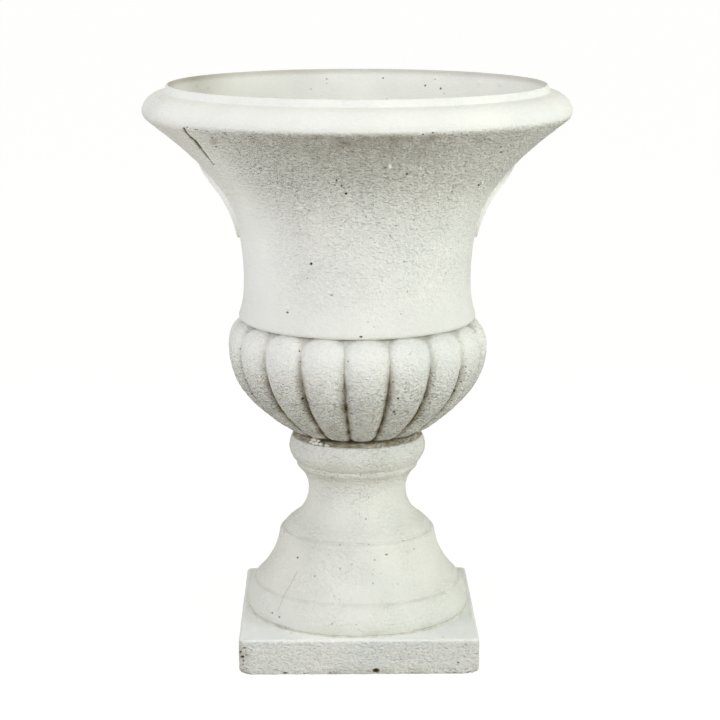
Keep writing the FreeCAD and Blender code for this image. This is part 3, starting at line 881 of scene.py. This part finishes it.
# Air holes, lime lumps, hollows and chips: in the same order as the plinth's.
BOWL_SEEN = [
    # on the lobes
    (299.5, 351, 1.0, 1.1, 1.0, 0.9), (240, 349, 0.8, 0.8, 1.0, 0.7), (252, 394, 1.0, 1.2, 1.0, 0.9),
    (393, 382, 0.9, 1.0, 1.0, 0.8), (403, 379, 0.8, 0.9, 1.0, 0.6), (406, 383, 0.9, 1.0, 1.0, 0.7),
    (405, 389, 0.8, 0.8, 1.0, 0.6), (398, 398.5, 1.1, 1.3, 1.0, 0.95), (389, 406, 0.8, 0.9, 1.0, 0.6),
    (394, 412, 1.2, 1.4, 1.3, 0.9), (395, 414.5, 0.9, 1.0, 1.0, 0.9), (348, 361.5, 0.8, 0.8, 1.0, 0.7),
    (346, 427, 0.8, 0.8, 1.0, 0.5), (303, 399, 1.3, 1.5, 1.2, 0.95), (301.5, 396, 0.9, -0.9),
    (303, 414, 0.8, 0.8, 1.0, 0.6), (312, 431, 0.8, 0.8, 1.0, 0.7), (466, 367, 0.8, 0.9, 1.0, 0.7),
    (466, 373, 0.9, 1.0, 1.0, 0.8), (458, 377, 0.8, 0.9, 1.0, 0.7), (461, 382, 0.9, 1.0, 1.0, 0.8),
    (454, 391, 1.2, 1.4, 1.4, 0.95), (452, 401, 0.8, 0.9, 1.0, 0.8), (275, 410, 0.7, 0.7),
    (263, 400, 0.7, 0.7), (430, 403, 0.7, 0.7), (417, 419, 0.8, 0.8, 1.0, 0.8),
    (367, 379, 0.9, -0.4, 2.0), (382, 436, 0.8, 0.8, 1.0, 0.7), (349, 402, 0.7, 0.6),
    (371, 395, 0.8, -0.3, 1.6), (410, 354, 0.7, 0.5),
    # on the bell
    (361, 337, 1.3, 1.3, 1.3, 1.0), (389.5, 165.5, 2.4, -2.8, 1.0), (384.5, 168.5, 1.6, 1.4, 1.3, 0.4),
    (407, 174, 1.2, 1.1, 1.0, 0.8), (408, 172.5, 0.7, -0.5), (336.5, 181, 1.2, 1.0, 1.0, 0.8),
    (341.5, 186, 1.2, 1.1, 1.0, 0.8), (346, 194, 1.5, 1.3, 1.0, 1.0), (423, 134.6, 1.0, 1.0, 1.2, 0.8),
    (433, 133, 1.0, 1.0, 1.2, 0.7), (501, 152.5, 1.3, 1.2, 1.0, 1.0), (501, 147, 0.7, 0.7),
    (479, 185.5, 1.3, 1.3, 1.0, 1.0), (482, 182.5, 1.6, -1.8), (452, 191.5, 1.0, 0.8, 1.0, 0.7),
    (465, 166, 0.7, 0.7), (260, 169, 1.4, 0.9, 1.6, 0.4), (258, 166.5, 1.0, -0.5, 1.4),
    (311, 264, 1.6, 1.5, 1.0, 1.0), (287.3, 312.4, 1.2, 1.1, 1.3, 0.7), (287, 308.0, 2.0, -1.9, 1.2),
    (294, 307.5, 0.7, -0.5), (329, 292.6, 2.0, -1.7, 1.3), (331.5, 295.4, 0.9, 0.8, 1.5, 0.5),
    (342, 296.0, 1.2, -1.1, 1.8), (331, 171.5, 0.9, 0.7, 1.6, 0.3), (314, 226, 1.2, -0.7, 2.2),
    (309, 210.5, 1.1, 0.7, 2.2, 0.3), (356, 236.5, 1.2, -0.7, 2.6), (361, 193, 1.0, 0.6, 2.4, 0.3),
    (395, 224, 1.1, -0.7, 2.0), (396, 226, 0.9, 0.6, 1.6, 0.4), (390, 236, 0.9, 0.6, 1.6, 0.3),
    (404, 262, 0.8, 0.7), (413, 262, 0.7, 0.6), (380, 292, 0.7, 0.6), (401, 314, 0.7, 0.7),
    (368, 322, 0.7, 0.6), (446, 273, 0.8, 0.6), (374, 327, 0.7, 0.6), (300, 208, 1.2, -0.5, 2.4),
    (375, 245, 1.2, -0.5, 2.4), (363, 224, 1.1, 0.5, 2.4, 0.2), (345, 222, 1.0, 0.5, 2.0, 0.2),
    (348, 246, 1.0, 0.4, 2.0, 0.2), (414, 220, 0.9, 0.6, 1.4, 0.4), (424, 250, 0.8, 0.6, 1.0, 0.4),
    # in the mouth
    (383, 78, 1.1, 1.2, 1.0, 0.9), (425, 85.5, 1.0, 1.2, 1.2, 0.9), (440.5, 88.5, 1.3, 1.4, 1.0, 0.95),
    (327, 79, 0.9, 0.9, 1.2, 0.8), (327, 83.5, 0.7, 0.7), (387, 99, 0.8, 0.8), (444, 93.5, 0.7, 0.7),
    (435, 79, 0.7, 0.6), (480, 83.5, 2.3, -1.4, 1.0), (500.5, 84.5, 2.3, -1.4, 1.0),
    (311, 89, 0.8, 0.6), (208, 88, 1.2, 0.8, 1.0, 0.4), (197, 86, 1.6, 0.7, 1.0, 0.3),
    # chips on the rim's lower edge
    (196.5, 130.2, 1.0, 1.0, 2.6, 0.4), (201.5, 130.8, 0.7, 0.8, 2.4, 0.3),
    (206.5, 131.6, 0.9, 0.8, 2.2, 0.35), (224, 133.4, 0.9, 0.9, 2.4, 0.4),
    (187, 127.5, 0.8, 0.8, 2.0, 0.35), (214, 142, 4.5, 0.35, 1.2, 0.26), (216, 147, 1.6, 0.4, 1.0, 0.4),
    (212, 138, 1.3, 0.5, 1.2, 0.5), (444, 146, 1.2, 0.7, 2.0, 0.4), (451, 150, 1.0, 0.6, 1.6, 0.4),
    (435, 143, 1.0, 0.6, 2.0, 0.35),
]
bowl_marks = [seen(*mark) for mark in BOWL_SEEN]

# The crack below the rim at the left, in four stretches: its pixels, radius, depth and darkness, the
# painted shade in it.
CRACK = [
    ([(183.5, 128.5), (187, 134), (191, 138)], 1.0, 1.8, 1.0),
    ([(191, 138), (195, 141.5), (201, 149)], 1.5, 2.6, 1.0),
    ([(201, 149), (208, 158)], 1.0, 1.8, 0.9),
    ([(208, 158), (214, 165.5)], 0.7, 1.0, 0.6),
]
for pixels, radius, depth, dark in CRACK:
    bowl_marks += traced(pixels, radius, depth, dark)
LOBE_SEAM = [(252, 368), (255, 379), (259, 391)]
bowl_marks += traced(LOBE_SEAM, radius=0.8, depth=-0.3)
bowl_marks += scattered(seed=21, count=70, low=250.0, high=345.0, sizes=(0.45, 0.9))
bowl_marks += scattered(seed=22, count=46, low=375.0, high=575.0, sizes=(0.4, 0.8))


def lobe_place(p):
    """Where a point lies across its lobe, from -1 to 1, found from its bearing."""
    bearing = (math.degrees(math.atan2(p.y, p.x)) + 90 - LOBE_TURN) % (360.0 / LOBES)
    middle = 180.0 / LOBES
    return (bearing + middle) % (2 * middle) / middle - 1


def faces_in(p, normal):
    """True in the planting space: on its walls, and on its floor."""
    on_floor = normal.z > 0.5 and p.z < 300 and p.x * p.x + p.y * p.y < 100 * 100
    return on_floor or normal.x * p.x + normal.y * p.y < 0


def away_from(p, middle):
    """How many degrees round the bowl a point lies from a bearing; the front is 0."""
    bearing = math.degrees(math.atan2(p.x, -p.y))
    return abs((bearing - middle + 180) % 360 - 180)


def bowl_coarse(p, normal):
    """Rough below the lobes' waist and under the rim; smooth on the rim and on the bell's left."""
    if faces_in(p, normal):
        return 0.15
    if p.z < BELL_EDGE:
        return 0.45 + 0.80 * ramp(p.z, 348, 298)
    side = 0.35 + 0.65 * ramp(away_from(p, -95), 43, 67)
    low = ramp(p.z, 380, 430)
    flare = ramp(math.hypot(p.x, p.y), 128, 168)
    bell = side * (0.30 + 0.35 * low + 0.75 * flare)
    rim = 0.20
    if p.z < LIP_LOW:
        rim += 0.25 * ramp(away_from(p, -110), 62, 42)
    on_rim = ramp(p.z, RIM_EDGE - 5.5, RIM_EDGE + 0.5)
    return bell * (1 - on_rim) + rim * on_rim


def bowl_dirt_and_shade(p, normal):
    """Painted shade with some soil in the valleys between lobes, on the lobes' lower halves and tips
    and under the bell's edge, and the rim's painted shadow at the front under the rim.

    Inside, it darkens the left wall with painted shade, and is darker at the top edge and down
    towards the floor.
    """
    patch = patchy(p, 13.0, 0.6, 0.9)
    # Inside: painted shade on the left wall; darker at the top edge and towards the floor.
    if faces_in(p, normal):
        darkened = 0.03 + max(0.0, -p.x / 200) * patchy(p, 60.0, 0.20, 0.2)
        top_edge = 0.30 * ramp(p.z, 614, 617)
        return darkened + top_edge + 0.35 * max(0.0, 1 - (p.z - FLOOR_Z) / 90)
    # Painted shade with some soil in the valleys, on the lobes' lower halves, at their tips over the
    # joint, and under the bell's edge and its lower lip.
    if p.z < BELL_EDGE:
        valley = 1 - float(lobe_height(lobe_place(p), p.z))
        deep = 0.12 + 0.78 * ramp(p.z, 350, 300) + 0.25 * ramp(p.z, 350, 360)
        crease = deep * ramp(valley, 0.28, 0.78)
        low = 0.22 * ramp(p.z, 335, 260)
        tip = 0.7 * ramp(p.z, 244.5, 241.0)
        under_edge = 0.25 * ramp(p.z, BELL_EDGE - 1.6, BELL_EDGE)
        return min(1.0, (0.5 + 0.5 * patch) * max(crease, tip, under_edge) + low * (0.4 + patch))
    if p.z < BELL_EDGE + 1.5:
        return 0.15 * patch
    # The rim's painted shadow on the front of the bell, fading in below the rim's edge.
    if FLARE_LOW < p.z < RIM_EDGE:
        front = math.exp(-(away_from(p, 2) / 32) ** 2) + 0.14
        worn = ramp(p.z, RIM_EDGE, RIM_EDGE - 5)
        return worn * front * (0.28 + 0.25 * patch) * ((p.z - FLARE_LOW) / 80) ** 1.6
    # A little darker on the rim, and darker towards the bell's lower edge.
    return 0.04 if p.z > RIM_EDGE else 0.09 * ramp(p.z, BELL_EDGE + 60, BELL_EDGE)


def inside_rim(p):
    """The rim and the lip were struck off true."""
    reach = math.hypot(p.x, p.y)
    fit = min(1.0, RIM_RADIUS * MM / reach)
    return Vector((p.x * fit, p.y * fit, min(p.z, TOTAL_HEIGHT * MM)))


bowl_stone = cast_stone(
    "cast_stone_of_bowl", pale="#F3F4F0", cool="#ECEEEB", underside_tone="#A99A80",
    grain_mm=2.5, grain_depth_mm=3.2)
weather(bowl, bowl_stone, bowl_marks, bowl_coarse, bowl_dirt_and_shade, wander_mm=0.3, keep_in=inside_rim)
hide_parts("bowl")

# Side plaques
# An oval plaque on each side of the bell, cast in the same stone and set on while the bowl was
# green. Each has a flat raised border and a slightly sunk, plain field.
PLAQUE_Z = 493.2
PLAQUE_HALF_HEIGHT = 39.8
PLAQUE_HALF_WIDTH = 33.0
PLAQUE_THICKNESS = 4.1
PLAQUE_FIELD = 3.1
PLAQUE_SUNK = -1.0
PLAQUE_LEAN = 0.30
PLAQUE_TAPER = 0.85
PLAQUE_TAPER_FROM = 22.0
PLAQUE_BORDER = 0.80
PLAQUE_COLUMNS = 144

bell_path = np.array(through(BELL, 1.0))
bell_tangent = np.gradient(bell_path, axis=0)
bell_outward = np.stack([bell_tangent[:, 1], -bell_tangent[:, 0]], axis=1)
bell_outward /= np.linalg.norm(bell_outward, axis=1)[:, None]


def plaque_ring(share, height, side):
    """An oval ring, as a share of the plaque's outline, at a height off the bell."""
    bearing = np.arange(PLAQUE_COLUMNS) * 2 * np.pi / PLAQUE_COLUMNS
    across = share * PLAQUE_HALF_WIDTH * np.cos(bearing)
    z = PLAQUE_Z + share * PLAQUE_HALF_HEIGHT * np.sin(bearing)
    above = z - PLAQUE_Z
    taper = np.clip((above - PLAQUE_TAPER_FROM) / (PLAQUE_HALF_HEIGHT - PLAQUE_TAPER_FROM), 0, 1)
    thin = 1 + PLAQUE_LEAN * above / PLAQUE_HALF_HEIGHT - PLAQUE_TAPER * taper ** 1.6
    bare = np.interp(z, bell_path[:, 1], bell_path[:, 0])
    raised = bell_path + bell_outward * height
    radius = np.interp(z, raised[:, 1], raised[:, 0])
    radius = bare + (radius - bare) * np.where(height > 0, thin, 1)
    return np.stack([side * np.sqrt(radius ** 2 - across ** 2), side * across, z], axis=1)


# The plaque's section from the middle of its hidden back, round its edge, to the middle of its
# field: shares of the outline, and heights off the bell.
plaque_section = [(share, PLAQUE_SUNK) for share in (0.003, 0.35, 0.7, 0.96)]
plaque_section += [(0.995, PLAQUE_SUNK), (1.0, 0.6), (1.0, 2.0), (1.0, PLAQUE_THICKNESS - 1.4)]
plaque_section += [(0.994, PLAQUE_THICKNESS - 0.6), (0.98, PLAQUE_THICKNESS - 0.15)]
plaque_section += [(share, PLAQUE_THICKNESS) for share in (0.96, 0.9, 0.85)]
plaque_section += [(0.825, PLAQUE_THICKNESS - 0.2), (PLAQUE_BORDER, PLAQUE_FIELD + 0.2)]
plaque_section += [(share, PLAQUE_FIELD) for share in (0.78, 0.72, 0.64, 0.56, 0.48, 0.4)]
plaque_section += [(share, PLAQUE_FIELD) for share in (0.32, 0.24, 0.16, 0.08, 0.003)]

plaque_stone = cast_stone(
    "cast_stone_of_plaques", pale="#F3F3F0", cool="#EFEFED", underside_tone="#D8D4CA",
    grain_mm=2.0, grain_depth_mm=0.4)
for side, name, node in ((-1, "left_plaque_casting", "side_plaque_left"),
                         (1, "right_plaque_casting", "side_plaque_right")):
    plaque = skin(name, [plaque_ring(share, height, side) for share, height in plaque_section])
    weather(plaque, plaque_stone, [], lambda p, normal: 0.2, lambda p, normal: 0.0, wander_mm=0.1)
    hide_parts(node)

# Drain pipe
# A short length of grey PVC waste pipe, cast into the three stones so that water runs out under
# the plinth. Extruded: smooth, faintly streaked along its length, dusty with lime.
PVC_ROUGHNESS = 0.45
STREAK_MM = 1.5
STREAK_DEPTH_MM = 0.05
STREAK_STRETCH = 0.06
DUST_MM = 12.0

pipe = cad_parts["drain_pipe"]
pvc = bpy.data.materials.new("extruded_pvc_of_pipe")
pvc.use_nodes = True
tree = pvc.node_tree
shader = tree.nodes["Principled BSDF"]
shader.inputs["Roughness"].default_value = PVC_ROUGHNESS
place = add_node(tree, "ShaderNodeTexCoord").outputs["Object"]
drawn = add_node(tree, "ShaderNodeMapping", inputs={
    "Vector": place, "Scale": (1.0, 1.0, STREAK_STRETCH)})
streaks = add_node(tree, "ShaderNodeTexNoise", inputs={
    "Vector": drawn.outputs["Vector"], "Scale": 1 / (STREAK_MM * MM), "Detail": 3.0})
dust = add_node(tree, "ShaderNodeTexNoise", inputs={
    "Vector": place, "Scale": 1 / (DUST_MM * MM), "Detail": 5.0})
dust_share = add_node(tree, "ShaderNodeMapRange", inputs={
    "Value": dust.outputs["Fac"], "From Min": 0.45, "From Max": 0.75, "To Min": 0.0, "To Max": 0.6})
plastic = add_node(tree, "ShaderNodeMix", COLOURS, {
    SHARE: streaks.outputs["Fac"], FIRST: linear("#8C9092"), SECOND: linear("#7F8386")})
dusty = add_node(tree, "ShaderNodeMix", COLOURS, {
    SHARE: dust_share.outputs["Result"], FIRST: plastic.outputs[MIXED], SECOND: linear("#C9C6BC")})
tree.links.new(dusty.outputs[MIXED], shader.inputs["Base Color"])
pipe_bump = add_node(tree, "ShaderNodeBump", inputs={
    "Strength": 1.0, "Distance": STREAK_DEPTH_MM * MM, "Height": streaks.outputs["Fac"]})
tree.links.new(pipe_bump.outputs["Normal"], shader.inputs["Normal"])
pipe.data.materials.clear()
pipe.data.materials.append(pvc)

# Dowels
# Six pins of drawn stainless steel, three in each joint, set in the stones with mortar.
# Bright, with fine lines along the pin and a bloom of lime where the mortar touched them.
LINE_MM = 0.4
LINE_DEPTH_MM = 0.02
LINE_STRETCH = 0.03
BLOOM_MM = 9.0

steel = bpy.data.materials.new("drawn_stainless_of_dowels")
steel.use_nodes = True
tree = steel.node_tree
shader = tree.nodes["Principled BSDF"]
shader.inputs["Metallic"].default_value = 1.0
place = add_node(tree, "ShaderNodeTexCoord").outputs["Object"]
drawn = add_node(tree, "ShaderNodeMapping", inputs={
    "Vector": place, "Scale": (1.0, 1.0, LINE_STRETCH)})
lines = add_node(tree, "ShaderNodeTexNoise", inputs={
    "Vector": drawn.outputs["Vector"], "Scale": 1 / (LINE_MM * MM), "Detail": 2.0})
bloom = add_node(tree, "ShaderNodeTexNoise", inputs={
    "Vector": place, "Scale": 1 / (BLOOM_MM * MM), "Detail": 4.0})
limed = add_node(tree, "ShaderNodeMix", COLOURS, {
    SHARE: bloom.outputs["Fac"], FIRST: linear("#B9BBBC"), SECOND: linear("#A3A49F")})
tree.links.new(limed.outputs[MIXED], shader.inputs["Base Color"])
rough = add_node(tree, "ShaderNodeMapRange", inputs={
    "Value": bloom.outputs["Fac"], "From Min": 0.3, "From Max": 0.7, "To Min": 0.28, "To Max": 0.55})
tree.links.new(rough.outputs["Result"], shader.inputs["Roughness"])
pin_bump = add_node(tree, "ShaderNodeBump", inputs={
    "Strength": 1.0, "Distance": LINE_DEPTH_MM * MM, "Height": lines.outputs["Fac"]})
tree.links.new(pin_bump.outputs["Normal"], shader.inputs["Normal"])
for node in ("bowl_dowels", "foot_dowels"):
    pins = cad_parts[node]
    pins.data.materials.clear()
    pins.data.materials.append(steel)

# Floor, backdrop and light
# A plain pale floor that runs to the horizon, looks white and keeps the urn's shadow, a white
# surround, and four soft boxes: weak ones overhead and in front, a cool one at each front side.
FLOOR_HALF = 60.0
FLOOR_TONE = "#CAC7BC"
FLOOR_ROUGHNESS = 0.9
FLOOR_GLOW = 1.17
FLOOR_GLOW_SHARE = 0.80
SURROUND_TONE = "#FFFCEC"
SURROUND_LEVEL = 0.50
WHITE = (1, 1, 1, 1)

bm = bmesh.new()
bmesh.ops.create_grid(bm, x_segments=8, y_segments=8, size=FLOOR_HALF)
floor_mesh = bpy.data.meshes.new("floor")
bm.to_mesh(floor_mesh)
bm.free()
floor = bpy.data.objects.new("floor", floor_mesh)
bpy.context.scene.collection.objects.link(floor)
paper = bpy.data.materials.new("white_paper_of_floor")
paper.use_nodes = True
tree = paper.node_tree
shader = tree.nodes["Principled BSDF"]
shader.inputs["Base Color"].default_value = linear(FLOOR_TONE)
shader.inputs["Roughness"].default_value = FLOOR_ROUGHNESS
rays = add_node(tree, "ShaderNodeLightPath")
glow_share = add_node(tree, "ShaderNodeMath", {"operation": "MULTIPLY"}, {
    0: rays.outputs["Is Camera Ray"], 1: FLOOR_GLOW_SHARE})
glow = add_node(tree, "ShaderNodeEmission", inputs={"Color": WHITE, "Strength": FLOOR_GLOW})
blend = add_node(tree, "ShaderNodeMixShader", inputs={0: glow_share.outputs["Value"]})
tree.links.new(shader.outputs["BSDF"], blend.inputs[1])
tree.links.new(glow.outputs["Emission"], blend.inputs[2])
tree.links.new(blend.outputs["Shader"], tree.nodes["Material Output"].inputs["Surface"])
floor.data.materials.append(paper)

world = bpy.data.worlds.new("surround")
bpy.context.scene.world = world
world.use_nodes = True
tree = world.node_tree
rays = add_node(tree, "ShaderNodeLightPath")
level = add_node(tree, "ShaderNodeMapRange", inputs={
    "Value": rays.outputs["Is Camera Ray"], "To Min": SURROUND_LEVEL, "To Max": 1.0})
tone = add_node(tree, "ShaderNodeMix", COLOURS, {
    SHARE: rays.outputs["Is Camera Ray"], FIRST: linear(SURROUND_TONE), SECOND: WHITE})
tree.links.new(tone.outputs[MIXED], tree.nodes["Background"].inputs["Color"])
tree.links.new(level.outputs["Result"], tree.nodes["Background"].inputs["Strength"])


def soft_box(name, place, aim, size, power, tone):
    """A square studio soft box, aimed at a point."""
    lamp = bpy.data.objects.new(name, bpy.data.lights.new(name, "AREA"))
    bpy.context.scene.collection.objects.link(lamp)
    lamp.data.shape = "SQUARE"
    lamp.data.size = size
    lamp.data.energy = power
    lamp.data.color = linear(tone)[:3]
    lamp.location = place
    lamp.rotation_euler = (Vector(aim) - Vector(place)).to_track_quat("-Z", "Y").to_euler()


soft_box("overhead", place=(0.0, -0.25, 2.3), aim=(0, 0, 0.3), size=1.4, power=8.5, tone="#FFFFFF")
soft_box("front_left", place=(-1.9, -1.3, 0.95), aim=(0, 0, 0.35), size=1.2, power=22.5, tone="#ECEEFF")
soft_box("front_right", place=(1.9, -1.3, 0.8), aim=(0, 0, 0.35), size=1.2, power=27.5, tone="#F8FDFF")
soft_box("front", place=(0.0, -2.4, 0.62), aim=(0, 0, 0.40), size=1.2, power=4.5, tone="#FFFFFF")

bpy.context.scene.view_settings.view_transform = "Standard"
